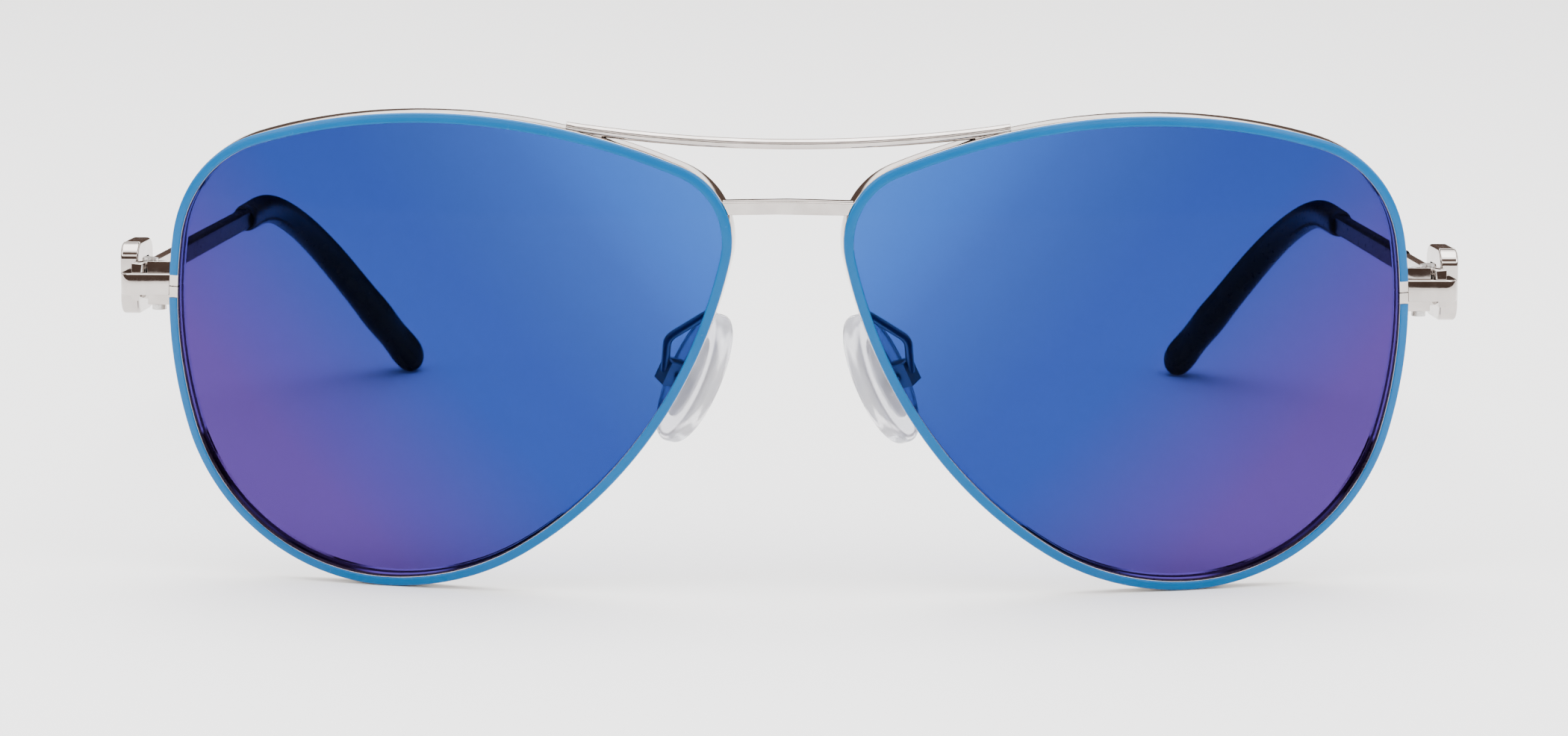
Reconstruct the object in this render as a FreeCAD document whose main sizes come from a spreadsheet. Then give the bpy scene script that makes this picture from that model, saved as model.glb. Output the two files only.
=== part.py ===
import FreeCAD, Part
import math
import os

V = FreeCAD.Vector
Placement = FreeCAD.Placement
Rotation = FreeCAD.Rotation
X_AXIS = V(1, 0, 0)
Y_AXIS = V(0, 1, 0)
Z_AXIS = V(0, 0, 1)

# Aviator sunglasses with wire rims, standing open on a flat surface. +X is the wearer's left,
# +Y runs from the front back along the temples and +Z is up. Millimetres and degrees.
# Everything on the wearer's left is built in place and mirrored to the right.

os.makedirs("parts", exist_ok=True)
doc = FreeCAD.newDocument("AviatorSunglasses")
sheet = doc.addObject("Spreadsheet::Sheet", "Sizes")

SIZES = {
    # lenses
    "lens_width": 59.0,
    "lens_height": 50.6,
    "bridge_width": 13.5,
    "lens_curve": 88.0,
    "lens_thickness": 1.8,
    "lens_temple_corner": 13.4,
    "lens_nose_corner": 8.15,
    "lens_cheek_curve": 28.3,
    "lens_wrap": 8.0,
    "front_tilt": 6.0,
    # rims
    "groove_depth": 0.5,
    "groove_width": 0.8,
    "rim_width": 1.05,
    "rim_depth": 2.2,
    "enamel_thickness": 0.25,
    "enamel_inset": 0.03,
    "enamel_end_gap": 0.1,
    "lens_recess": 1.0,
    "lens_side_play": 0.03,
    "rim_split": 0.12,
    # bridge and brow bar
    "bridge_rise": 16.35,
    "bridge_height": 1.4,
    "bridge_depth": 1.5,
    "bridge_arch": 170.0,
    "bridge_flare": 1.1,
    "bridge_back": 2.3,
    "bridge_overlap": 0.6,
    "bridge_corner": 1.6,
    "brow_rod": 1.1,
    "brow_sag": 1.72,
    "brow_end_in": 13.45,
    "brow_seat": 0.25,
    "brow_foot": 3.7,
    "brow_back": 2.7,
    # end pieces and rim locks
    "end_height": 2.25,
    "end_thickness": 1.3,
    "end_corner": 1.4,
    "end_to_hinge": 4.8,
    "end_setback": 0.15,
    "end_overlap": 2.0,
    "lock_height": 4.6,
    "lock_width": 2.2,
    "lock_depth": 1.6,
    "lock_screw": 0.9,
    "lock_screw_head": 1.5,
    "lock_gap": 0.15,
    "lock_overlap": 1.6,
    "lock_inset": 2.65,
    "lock_lower_gap": 0.08,
    "lock_screw_recess": 0.1,
    "lock_head": 0.55,
    "screw_slot": 0.28,
    # hinges
    "hinge_beyond_lens": 2.45,
    "hinge_up": 6.6,
    "hinge_lean": 5.0,
    "knuckle": 2.0,
    "hinge_height": 3.9,
    "hinge_pin": 1.0,
    "front_leaf_edge": 0.2,
    "temple_leaf_edge": 0.1,
    "leaf_overlap": 1.0,
    "slot_past": 2.0,
    "hinge_pin_play": 0.05,
    "hinge_head": 1.6,
    "hinge_head_thickness": 0.45,
    "hinge_gap": 0.06,
    "leaf_inner": 0.35,
    "leaf_length": 3.4,
    "leaf_step": 0.1,
    "knuckle_clearance": 0.12,
    "temple_leaf_extra": 1.2,
    "hinge_side_play": 0.25,
    # temples
    "arm_height": 1.9,
    "arm_thickness": 1.1,
    "arm_gap": 0.08,
    "arm_flat_length": 60.0,
    "temple_turn_in": 1.6,
    "bend_start": 81.0,
    "bend_radius": 44.0,
    "bend_angle": 45.0,
    "bend_turn_in": 28.0,
    "tip_leg": 22.5,
    "core_wire": 1.1,
    "core_leg": 9.0,
    "core_overlap": 1.0,
    "sleeve_start": 26.0,
    "sleeve_height": 2.4,
    "sleeve_thickness": 1.7,
    "sleeve_round": 0.5,
    "tip_start": 69.0,
    "tip_thickness": 2.9,
    "tip_height": 3.4,
    "tip_end_thickness": 4.3,
    "tip_end_height": 5.7,
    "tip_shoulder": 2.0,
    "tip_rounding": 2.4,
    # ornaments
    "ornament_height": 7.7,
    "ornament_length": 8.2,
    "ornament_proud": 0.85,
    "ornament_bar": 2.1,
    "ornament_round": 1.7,
    "ornament_edge": 0.3,
    "ornament_behind_gap": 0.25,
    # nose pads
    "pad_length": 15.0,
    "pad_width": 7.8,
    "pad_thickness": 2.3,
    "pad_round": 0.8,
    "pad_beyond_bridge": 3.15,
    "pad_back": 8.3,
    "pad_down": 3.8,
    "pad_slant": 24.0,
    "pad_splay": 30.0,
    "pad_core_length": 9.4,
    "pad_core_width": 3.6,
    "pad_core_thickness": 0.7,
    "pad_tab_past": 0.7,
    "pad_core_offset": 0.25,
    "pad_tab": 0.8,
    "pad_tab_reach": 2.3,
    "pad_tab_inset": 0.45,
    "pad_box": 2.6,
    "pad_box_wall": 0.5,
    "pad_box_gap": 0.5,
    "pad_box_depth": 1.9,
    "pad_play": 0.12,
    "pad_screw": 0.8,
    "pad_screw_depth": 0.75,
    "pad_screw_head": 1.28,
    "pad_screw_head_height": 0.4,
    "pad_screw_play": 0.05,
    "pad_wire": 0.9,
    "pad_wire_up": 4.5,
    "pad_wire_back": 3.2,
    "pad_wire_bend": 1.6,
    "pad_wire_root": 0.8,
    "pad_wire_lead": 2.2,
    "pad_wire_lead_back": 1.2,
    "pad_wire_foot": 0.2,
}

# Sizes that follow from the ones above.
FORMULAS = {
    "side_in": "( knuckle / 2 + hinge_side_play )",
    "side_out": "( side_in + arm_thickness )",
    "end_back": "( end_thickness - end_to_hinge )",
    "rim_front": "( lens_curve + lens_recess - enamel_thickness )",
    "rim_back": "( rim_front - rim_depth )",
    "lens_middle": "( lens_curve - lens_thickness / 2 )",
    "tongue_half": "( groove_width / 2 - lens_side_play )",
    "lock_out": "( lock_width - lock_inset )",
    "lock_back": "( end_back + lock_depth )",
    "middle_half": "( hinge_height / 6 )",
    "knuckle_reach": "( knuckle / 2 + knuckle_clearance )",
    "leaf_half": "( arm_height / 2 - leaf_step )",
    "pin_hole": "( hinge_pin / 2 + hinge_pin_play )",
    "ornament_from": "( arm_gap / 2 + ornament_behind_gap )",
    "ornament_to": "( ornament_from + ornament_length )",
    "ornament_out": "( side_out + ornament_proud )",
    "window_rise": "( ornament_height / 2 - ornament_bar * 0.85 )",
    "pad_core_low": "( 0 - pad_core_thickness / 2 - pad_core_offset )",
    "slot_half": "( pad_tab / 2 + pad_play )",
    "box_wide": "( slot_half + pad_box_wall )",
    "box_top": "( 0 - pad_thickness / 2 - pad_box_gap )",
    "box_low": "( box_top - pad_box_depth - pad_box_wall )",
    "tab_tall": "( pad_box / 2 - pad_tab_inset )",
    "tab_end": "( box_top - pad_tab_reach + pad_tab_past )",
}

for row, (alias, number) in enumerate(SIZES.items(), start=1):
    sheet.set("A%d" % row, alias)
    sheet.set("B%d" % row, str(number))
    sheet.setAlias("B%d" % row, alias)
doc.recompute()


def bound(text):
    """Write a formula on the sizes as FreeCAD's expressions read it."""
    words = []
    for word in text.replace("(", " ( ").replace(")", " ) ").split():
        if word in FORMULAS:
            words.append(bound(FORMULAS[word]))
        elif word in SIZES:
            words.append("Sizes." + word)
        else:
            words.append(word)
    return " ".join(words)


def size(text):
    """The number that a formula on the sizes comes to now."""
    return float(sheet.evalExpression(bound(text)))


# ---- small builders -------------------------------------------------------------------------

FREE = Placement()


def move(x=0.0, y=0.0, z=0.0):
    return Placement(V(x, y, z), Rotation())


def turn(axis, degrees):
    return Placement(V(0, 0, 0), Rotation(axis, degrees))


def add(kind, name, frame=FREE, **bindings):
    """Add one Part primitive at a frame, its sizes bound to the sheet."""
    thing = doc.addObject(kind, name)
    for prop, text in bindings.items():
        thing.setExpression(prop, bound(text))
    thing.Placement = frame
    return thing


def block(name, frame, x, y, z):
    """A box in the axes of a frame, from three (low, high) pairs of formulas."""
    thing = doc.addObject("Part::Box", name)
    for prop, (low, high) in zip(("Length", "Width", "Height"), (x, y, z)):
        thing.setExpression(prop, bound("( %s ) - ( %s )" % (high, low)))
    thing.Placement = frame.multiply(move(size(x[0]), size(y[0]), size(z[0])))
    return thing


def rod(name, frame, radius, low, high):
    """A cylinder along a frame's Z axis, from formulas."""
    height = "( %s ) - ( %s )" % (high, low)
    return add("Part::Cylinder", name, frame.multiply(move(z=size(low))), Radius=radius, Height=height)


def cut(name, base, tool):
    thing = doc.addObject("Part::Cut", name)
    thing.Base = base
    thing.Tool = tool
    return thing


def common(name, *shapes):
    thing = doc.addObject("Part::MultiCommon", name)
    thing.Shapes = list(shapes)
    return thing


def fuse(name, *shapes):
    thing = doc.addObject("Part::MultiFuse", name)
    thing.Shapes = list(shapes)
    thing.Refine = True
    return thing


def cut_all(name, base, *tools):
    return cut(name, base, tools[0] if len(tools) == 1 else fuse(name + "_tools", *tools))


def rounded(name, base, radius, picks):
    """Fillet the edges of a shape that a test picks."""
    doc.recompute()
    numbers = [i for i, edge in enumerate(base.Shape.Edges, start=1) if picks(edge)]
    thing = doc.addObject("Part::Fillet", name)
    thing.Base = base
    thing.Edges = [(i, radius, radius) for i in numbers]
    return thing


def drawn(name, shape, frame=FREE):
    """A wire or face worked out from the sheet, for a later extrusion, sweep or loft."""
    thing = doc.addObject("Part::Feature", name)
    thing.Shape = shape
    thing.Placement = frame
    return thing


def extruded(name, profile, direction, ahead, behind=0.0):
    thing = doc.addObject("Part::Extrusion", name)
    thing.Base = profile
    thing.DirMode = "Custom"
    thing.Dir = direction
    thing.LengthFwd = ahead
    thing.LengthRev = behind
    thing.Solid = True
    return thing


def swept(name, section, path):
    thing = doc.addObject("Part::Sweep", name)
    thing.Sections = [section]
    edges = ["Edge%d" % i for i in range(1, len(path.Shape.Edges) + 1)]
    thing.Spine = (path, edges)
    thing.Solid = True
    thing.Frenet = False
    return thing


def rounded_path(points, radius):
    """Straight runs through the points, with a tangent arc of one radius at each inner point."""
    edges = []
    last = points[0]
    for before, here, after in zip(points, points[1:], points[2:]):
        to_before = (before - here).normalize()
        to_after = (after - here).normalize()
        half = to_before.getAngle(to_after) / 2
        back = radius / math.tan(half)
        middle = (to_before + to_after).normalize() * (radius / math.sin(half) - radius)
        start = here + to_before * back
        end = here + to_after * back
        edges.append(Part.LineSegment(last, start).toShape())
        edges.append(Part.Arc(start, here + middle, end).toShape())
        last = end
    edges.append(Part.LineSegment(last, points[-1]).toShape())
    return Part.Wire(edges)


NODES = {}


def node(label, thing):
    """Name a finished sub-part; the label names its file."""
    thing.Label = label
    NODES[label] = thing
    return thing


def both_sides(name, thing):
    """Keep the left sub-part and mirror it to the right about X = 0."""
    node(name + "_left", thing)
    other = doc.addObject("Part::Mirroring", name + "_mirror")
    other.Source = thing
    other.Normal = X_AXIS
    node(name + "_right", other)


# ---- frames of the front --------------------------------------------------------------------

lens_out = size("( lens_width + bridge_width ) / 2")
front = turn(X_AXIS, size("front_tilt"))
optic = front.multiply(move(x=lens_out)).multiply(turn(Z_AXIS, size("lens_wrap")))

# ---- outline of the lens: seven tangent arcs, seen from the front ---------------------------

# Heading of travel at each joint between arcs, anticlockwise from the lowest point.
HEADINGS = (0.0, 76.0, 98.0, 161.0, 204.0, 281.5, 326.0, 360.0)
LOWER_TEMPLE, TEMPLE_SIDE, TEMPLE_CORNER, TOP, NOSE_CORNER, NOSE_SIDE, CHEEK = range(7)


def arc_step(first, last):
    """Travel of a unit arc between two headings."""
    a = math.radians(first)
    b = math.radians(last)
    return math.sin(b) - math.sin(a), math.cos(a) - math.cos(b)


def span(index, low, high):
    first = min(max(HEADINGS[index], low), high)
    last = min(max(HEADINGS[index + 1], low), high)
    return arc_step(first, last)


def solve(rows, values):
    """Gauss elimination with pivoting on a small square system."""
    count = len(values)
    table = [list(row) + [value] for row, value in zip(rows, values)]
    for i in range(count):
        best = max(range(i, count), key=lambda k: abs(table[k][i]))
        table[i], table[best] = table[best], table[i]
        for k in range(count):
            if k != i:
                share = table[k][i] / table[i][i]
                table[k] = [a - share * b for a, b in zip(table[k], table[i])]
    return [table[i][count] / table[i][i] for i in range(count)]


def lens_radii():
    """Radii that close the outline at the lens's width and height."""
    known = {
        TEMPLE_CORNER: size("lens_temple_corner"),
        NOSE_CORNER: size("lens_nose_corner"),
        CHEEK: size("lens_cheek_curve"),
    }
    open_arcs = [LOWER_TEMPLE, TEMPLE_SIDE, TOP, NOSE_SIDE]
    laws = [
        (lambda i: span(i, 0, 360)[0], 0.0),
        (lambda i: span(i, 0, 360)[1], 0.0),
        (lambda i: span(i, 0, 90)[0] + span(i, 270, 360)[0], size("lens_width")),
        (lambda i: span(i, 0, 180)[1], size("lens_height")),
    ]
    rows = [[law(i) for i in open_arcs] for law, total in laws]
    values = [total - sum(law(i) * r for i, r in known.items()) for law, total in laws]
    found = solve(rows, values)
    known.update(zip(open_arcs, found))
    return [known[i] for i in range(7)]


RADII = lens_radii()


def outline_arcs(offset):
    """Centre, radius and headings of each arc, grown outwards by an offset."""
    reach = sum(span(i, 0, 90)[0] * RADII[i] for i in range(7))
    x = size("lens_width") / 2 - reach
    z = -size("lens_height") / 2
    arcs = []
    for i, radius in enumerate(RADII):
        a = math.radians(HEADINGS[i])
        b = math.radians(HEADINGS[i + 1])
        centre = V(x - radius * math.sin(a), 0, z + radius * math.cos(a))
        arcs.append((centre, radius + offset, a, b))
        x = centre.x + radius * math.sin(b)
        z = centre.z - radius * math.cos(b)
    return arcs


def outline_wire(offset):
    edges = []
    for centre, radius, a, b in outline_arcs(offset):
        spots = [centre + V(radius * math.sin(t), 0, -radius * math.cos(t)) for t in (a, (a + b) / 2, b)]
        edges.append(Part.Arc(*spots).toShape())
    return Part.Wire(edges)


def on_outline(heading, offset):
    """Point of the outline where it runs at a heading in degrees."""
    for i, (centre, radius, a, b) in enumerate(outline_arcs(offset)):
        if HEADINGS[i] <= heading <= HEADINGS[i + 1]:
            t = math.radians(heading)
            return centre + V(radius * math.sin(t), 0, -radius * math.cos(t))


def on_top(x, offset):
    """Point of the top arc at a place across the lens."""
    centre, radius, a, b = outline_arcs(offset)[TOP]
    return V(x, 0, centre.z + math.sqrt(radius ** 2 - (x - centre.x) ** 2))


def on_nose_side(height, offset):
    """Point of the nose side's arc at a height above the lens's centre."""
    centre, radius, a, b = outline_arcs(offset)[NOSE_SIDE]
    return V(centre.x - math.sqrt(radius ** 2 - (height - centre.z) ** 2), 0, height)


def on_ball(spot, radius):
    """A point of the outline moved back along the optical axis onto a ball."""
    curve = size("lens_curve")
    return spot + V(0, curve - math.sqrt(radius ** 2 - spot.x ** 2 - spot.z ** 2), 0)


def prism(name, offset):
    """The outline drawn out along the optical axis."""
    profile = drawn(name + "_outline", Part.Face(outline_wire(offset)), optic)
    return extruded(name, profile, optic.Rotation.multVec(Y_AXIS), 20.0, 8.0)


def ball(name, radius):
    """A ball about the centre of the lens's front curve."""
    return add("Part::Sphere", name, optic.multiply(move(y=size("lens_curve"))), Radius=radius)


def shell(name, outer, inner):
    return cut(name, ball(name + "_outer", outer), ball(name + "_inner", inner))


# ---- frames of the temples ------------------------------------------------------------------

lip = -size("groove_depth")
rim_edge = lip + size("rim_width")
side_spot = optic.multVec(on_ball(on_outline(90, rim_edge), size("rim_front")))
hinge_spot = move(
    lens_out + size("lens_width / 2 + hinge_beyond_lens"),
    side_spot.y + size("end_setback + end_to_hinge"),
    size("hinge_up"),
).multiply(turn(Z_AXIS, size("temple_turn_in")))
side_in = size("side_in")
side_out = size("side_out")
bend_turn = math.radians(size("bend_angle"))
bend_length = size("bend_radius") * bend_turn
arm_in_temple = move(x=(side_in + side_out) / 2)
bend_in_temple = arm_in_temple.multiply(turn(Y_AXIS, size("bend_turn_in")))


def along(distance):
    """Frame on a temple's centre line, its Z axis pointing on along the line."""
    start = size("bend_start")
    radius = size("bend_radius")
    angle = min(max(distance - start, 0.0), bend_length) / radius
    run = min(distance, start)
    rest = max(distance - start - bend_length, 0.0)
    y = run + radius * math.sin(angle) + rest * math.cos(angle)
    z = -radius * (1 - math.cos(angle)) - rest * math.sin(angle)
    return bend_in_temple.multiply(move(y=y, z=z)).multiply(turn(X_AXIS, -90 - math.degrees(angle)))


tip_from = size("tip_start")
tip_to = size("bend_start + tip_leg") + bend_length


def tip_size(distance):
    """Half thickness and half height of the tip at a distance along the temple."""
    share = (distance - tip_from) / (tip_to - tip_from)
    grown = share * share * (3 - 2 * share)
    thick = size("tip_thickness") + grown * size("tip_end_thickness - tip_thickness")
    tall = size("tip_height") + grown * size("tip_end_height - tip_height")
    from_start = (distance - tip_from) / size("tip_shoulder")
    from_end = (tip_to - distance) / size("tip_rounding")
    swell = 1.0
    if from_start < 1:
        swell = 0.8 + 0.2 * math.sqrt(1 - (1 - from_start) ** 2)
    if from_end < 1:
        swell = max(math.sqrt(1 - (1 - from_end) ** 2), 0.2)
    return thick / 2 * swell, tall / 2 * swell


def lowest_rim():
    """Height of the rims' lowest point, on the enamel's front edge."""
    edge = rim_edge - size("enamel_inset")
    radius = size("lens_curve + lens_recess")
    spots = [on_ball(on_outline(h, edge), radius) for h in range(-40 + 360, 361)]
    spots += [on_ball(on_outline(h, edge), radius) for h in range(0, 41)]
    return min(optic.multVec(spot).z for spot in spots)


def lowest_tip(slope):
    """Height of a tip's lowest point when its temple slopes down by an angle."""
    frame = hinge_spot.multiply(turn(X_AXIS, -slope))
    lows = []
    for k in range(40):
        station = tip_to - size("tip_rounding") * 2 * k / 40
        ring = frame.multiply(along(station))
        thick, tall = tip_size(station)
        for t in range(0, 360, 5):
            a = math.radians(t)
            lows.append(ring.multVec(V(thick * math.cos(a), tall * math.sin(a), 0)).z)
    return min(lows)


def standing_slope():
    """Slope of the temples at which the tips and the rims rest on one flat surface."""
    low, high = -20.0, 30.0
    floor = lowest_rim()
    while high - low > 1e-6:
        guess = (low + high) / 2
        if lowest_tip(guess) > floor:
            low = guess
        else:
            high = guess
    return (low + high) / 2


temple_slope = standing_slope()
print("temples slope by %.3f degrees" % temple_slope)
temple = hinge_spot.multiply(turn(X_AXIS, -temple_slope))
hinge = temple.multiply(turn(Y_AXIS, -size("hinge_lean")))

# ---- rims, enamel and lenses ----------------------------------------------------------------

rim_outside = prism("rim_outside", rim_edge)
rim_opening = prism("rim_opening", lip)
rim_band = cut("rim_band", rim_outside, rim_opening)
rim_shell = shell("rim_shell", "rim_front", "rim_back")
rim_blank = common("rim_blank", rim_band, rim_shell)
groove_reach = prism("groove_reach", 0.0)
groove_shell = shell("groove_shell", "lens_middle + groove_width / 2", "lens_middle - groove_width / 2")
groove = common("groove", groove_reach, groove_shell)
ACROSS = ("-12", "4")
saw = block("saw", temple, ACROSS, ("-8", "4"), ("- rim_split / 2", "rim_split / 2"))
both_sides("eyewire", cut_all("eyewire", rim_blank, groove, saw))

enamel_edge = rim_edge - size("enamel_inset")
enamel_band = cut(
    "enamel_band",
    prism("enamel_outside", enamel_edge),
    prism("enamel_opening", lip + size("enamel_inset")),
)
enamel_shell = shell("enamel_shell", "lens_curve + lens_recess", "rim_front")
enamel_ring = common("enamel_ring", enamel_band, enamel_shell)
enamel_gap = block("enamel_gap", temple, ACROSS, ("-10", "4"),
                   ("- end_height / 2 - enamel_end_gap", "end_height / 2 + enamel_end_gap"))
both_sides("enamel", cut("enamel", enamel_ring, enamel_gap))

lens_core = common(
    "lens_core",
    prism("lens_side", lip - size("lens_side_play")),
    shell("lens_shell", "lens_curve", "lens_curve - lens_thickness"),
)
lens_tongue = common(
    "lens_tongue",
    prism("tongue_reach", 0.0),
    shell("tongue_shell", "lens_middle + tongue_half", "lens_middle - tongue_half"),
)
both_sides("lens", fuse("lens", lens_core, lens_tongue))

# ---- bridge and brow bar --------------------------------------------------------------------

other_rim = doc.addObject("Part::Mirroring", "other_rim")
other_rim.Source = rim_outside
other_rim.Normal = X_AXIS


def bar_profile(half, rise, height, curve, flare, corner):
    """A flat bar's front view: two long arcs that share a sign of curve, and flared ends."""
    drop = half ** 2 / (2 * curve)
    top = rise + height / 2
    low = rise - height / 2
    inner = half - corner
    low_inner = low - inner ** 2 / (2 * curve)
    edges = [
        Part.Arc(V(-half, 0, top - drop), V(0, 0, top), V(half, 0, top - drop)).toShape(),
        Part.LineSegment(V(half, 0, top - drop), V(half, 0, low_inner - flare)).toShape(),
    ]
    bow = 0.3 * min(flare, corner)
    right_mid = V(half - corner / 2 + bow / 2, 0, low_inner - flare / 2 + bow)
    left_mid = V(-right_mid.x, 0, right_mid.z)
    edges.append(Part.Arc(V(half, 0, low_inner - flare), right_mid, V(inner, 0, low_inner)).toShape())
    edges.append(Part.Arc(V(inner, 0, low_inner), V(0, 0, low), V(-inner, 0, low_inner)).toShape())
    edges.append(Part.Arc(V(-inner, 0, low_inner), left_mid, V(-half, 0, low_inner - flare)).toShape())
    edges.append(Part.LineSegment(V(-half, 0, low_inner - flare), V(-half, 0, top - drop)).toShape())
    return Part.Face(Part.Wire(edges))


bridge_half = size("bridge_width / 2 + bridge_overlap")
bridge_face = drawn(
    "bridge_face",
    bar_profile(bridge_half, size("bridge_rise"), size("bridge_height"), size("bridge_arch"),
                size("bridge_flare"), size("bridge_corner")),
    front.multiply(move(y=size("bridge_back") - size("bridge_depth") / 2)),
)
bridge_blank = extruded("bridge_blank", bridge_face, front.Rotation.multVec(Y_AXIS), size("bridge_depth"))
node("bridge", cut_all("bridge", bridge_blank, rim_outside, other_rim))

brow_half = lens_out - size("brow_end_in")
brow_seat = optic.multVec(on_top(-size("brow_end_in") / optic.Rotation.multVec(X_AXIS).x, rim_edge))
brow_end_height = front.inverse().multVec(brow_seat).z + size("brow_seat")
brow_curve = brow_half ** 2 / (2 * size("brow_sag"))


def brow_height(x):
    return brow_end_height - size("brow_sag") + x ** 2 / (2 * brow_curve)


brow_path = drawn(
    "brow_path",
    Part.Wire([Part.Arc(V(-brow_half, 0, brow_height(brow_half)), V(0, 0, brow_height(0)),
                        V(brow_half, 0, brow_height(brow_half))).toShape()]),
    front.multiply(move(y=size("brow_back"))),
)
brow_slope = 2 * math.degrees(math.atan(size("brow_sag") / brow_half))
brow_section = add(
    "Part::Circle", "brow_section",
    front.multiply(move(-brow_half, size("brow_back"), brow_height(brow_half)))
    .multiply(turn(Y_AXIS, 90 + brow_slope)),
    Radius="brow_rod / 2",
)
brow_rod = swept("brow_rod", brow_section, brow_path)


def brow_foot(side):
    """The solder block that carries one end of the brow bar on its rim."""
    outer = brow_half
    inner = brow_half - size("brow_foot")
    radius = size("brow_rod") / 2
    spots = [
        V(side * inner, 0, brow_height(inner)),
        V(side * outer, 0, brow_height(outer) + 0.8 * radius),
        V(side * (outer + 0.25), 0, brow_height(outer) - 2.2 * radius),
        V(side * (inner + 0.3), 0, brow_height(inner) - 3.2 * radius),
    ]
    wire = Part.makePolygon(spots + spots[:1])
    place = front.multiply(move(y=size("brow_back") - 0.8 * radius))
    face = drawn("brow_foot_face", Part.Face(wire), place)
    return extruded("brow_foot", face, front.Rotation.multVec(Y_AXIS), 1.6 * radius)


brow_blank = fuse("brow_blank", brow_rod, brow_foot(1), brow_foot(-1))
node("brow_bar", cut_all("brow_bar", brow_blank, rim_outside, other_rim))

# ---- end pieces and rim locks ---------------------------------------------------------------

end_front = -size("end_to_hinge")
end_back = size("end_back")
reach_in = size("hinge_beyond_lens + end_overlap")

end_plan = [
    V(-reach_in, end_front, 0),
    V(side_out, end_front, 0),
    V(side_out, -size("arm_gap") / 2, 0),
    V(side_in, -size("arm_gap") / 2, 0),
    V(side_in, end_back, 0),
    V(-reach_in, end_back, 0),
]
end_face = drawn("end_face", Part.Face(Part.makePolygon(end_plan + end_plan[:1])),
                 temple.multiply(move(z=-size("end_height / 2"))))
end_blank = extruded("end_blank", end_face, temple.Rotation.multVec(Z_AXIS), size("end_height"))


def near(frame, spot, play=0.05):
    """A test for an upright edge that stands at a spot of a frame."""
    def picks(edge):
        middle = frame.inverse().multVec(edge.CenterOfMass)
        upright = abs(edge.tangentAt(edge.FirstParameter).dot(frame.Rotation.multVec(Z_AXIS))) > 0.99
        return upright and abs(middle.x - spot[0]) < play and abs(middle.y - spot[1]) < play
    return picks


end_round = rounded("end_round", end_blank, size("end_corner"), near(temple, (side_out, end_front)))
both_sides("end_piece", cut("end_piece", end_round, rim_outside))

lock_axis = temple.multiply(move(size("lock_out - lock_width / 2"), size("end_back + lock_depth / 2")))
lock_bore = rod("lock_bore", lock_axis, "lock_screw / 2", "-9", "9")
lock_x = ("- hinge_beyond_lens - lock_overlap", "lock_out")
lock_upper = block("lock_upper_block", temple, lock_x, ("end_back", "lock_back"),
                   ("lock_gap / 2", "lock_height / 2"))
lock_lower = block("lock_lower_block", temple, lock_x, ("end_back + lock_lower_gap", "lock_back"),
                   ("- lock_height / 2", "- lock_gap / 2"))
both_sides("rim_lock_upper", cut_all("rim_lock_upper", lock_upper, lock_bore, rim_outside))
both_sides("rim_lock_lower", cut_all("rim_lock_lower", lock_lower, lock_bore, rim_outside))


def screw(name, axis, shank, head, low, high, head_low, head_high, slot):
    """A slotted screw along a frame's Z axis; its head lies between two heights."""
    body = fuse(name + "_blank",
                rod(name + "_shank", axis, shank, low, high),
                rod(name + "_head", axis, head, head_low, head_high))
    depth = "0.45 * ( ( %s ) - ( %s ) )" % (head_high, head_low)
    if size(head_high) >= size(high):
        levels = ("( %s ) - %s" % (head_high, depth), "( %s ) + 1" % head_high)
    else:
        levels = ("( %s ) - 1" % head_low, "( %s ) + %s" % (head_low, depth))
    tool = block(name + "_slot", axis, ("-5", "5"), ("- %s / 2" % slot, "%s / 2" % slot), levels)
    return cut(name, body, tool)


both_sides("rim_lock_screw", screw(
    "rim_lock_screw", lock_axis, "lock_screw / 2", "lock_screw_head / 2",
    "- lock_height / 2", "lock_height / 2 - lock_screw_recess",
    "- lock_height / 2 - lock_head", "- lock_height / 2",
    "screw_slot"))

# ---- hinges ---------------------------------------------------------------------------------

KNUCKLE = "knuckle / 2"
TOP_END = "hinge_height / 2"
LOW_END = "- hinge_height / 2"
beyond_side = block("beyond_side", temple, ("side_in", "side_in + 4"), ("-9", "9"), ("-6", "6"))
front_leaf = fuse(
    "front_leaf",
    block("front_plate", hinge, ("leaf_inner", "side_in + leaf_overlap"),
          ("- leaf_length", "- front_leaf_edge"), (LOW_END, TOP_END)),
    rod("front_knuckles", hinge, KNUCKLE, LOW_END, TOP_END),
)
front_bore = fuse("front_bore",
                  rod("front_bore_upper", hinge, "pin_hole", "0", "hinge_height"),
                  rod("front_bore_lower", hinge, "hinge_pin / 2", "- hinge_height", "0"))
front_slot = block("front_slot", hinge, ("- knuckle_reach - slot_past", "side_in + slot_past"),
                   ("- knuckle_reach", "knuckle_reach + slot_past"), ("- middle_half", "middle_half"))
both_sides("hinge_front", cut_all("hinge_front", front_leaf, front_bore, front_slot, beyond_side))

temple_leaf = fuse(
    "temple_leaf",
    block("temple_plate", hinge, ("leaf_inner", "side_in + leaf_overlap"),
          ("temple_leaf_edge", "leaf_length + temple_leaf_extra"), ("- leaf_half", "leaf_half")),
    rod("temple_knuckle", hinge, KNUCKLE, "- leaf_half", "leaf_half"),
)
clear_upper = rod("clear_upper", hinge, "knuckle_reach", "middle_half - hinge_gap", "hinge_height")
clear_lower = rod("clear_lower", hinge, "knuckle_reach", "- hinge_height", "hinge_gap - middle_half")
temple_bore = rod("temple_bore", hinge, "pin_hole", "- hinge_height", "hinge_height")
both_sides("hinge_temple", cut_all("hinge_temple", temple_leaf, clear_upper, clear_lower,
                                   temple_bore, beyond_side))

both_sides("hinge_screw", screw(
    "hinge_screw", hinge, "hinge_pin / 2", "hinge_head / 2", LOW_END, TOP_END,
    TOP_END, "hinge_height / 2 + hinge_head_thickness", "screw_slot"))

# ---- temples --------------------------------------------------------------------------------

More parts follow.
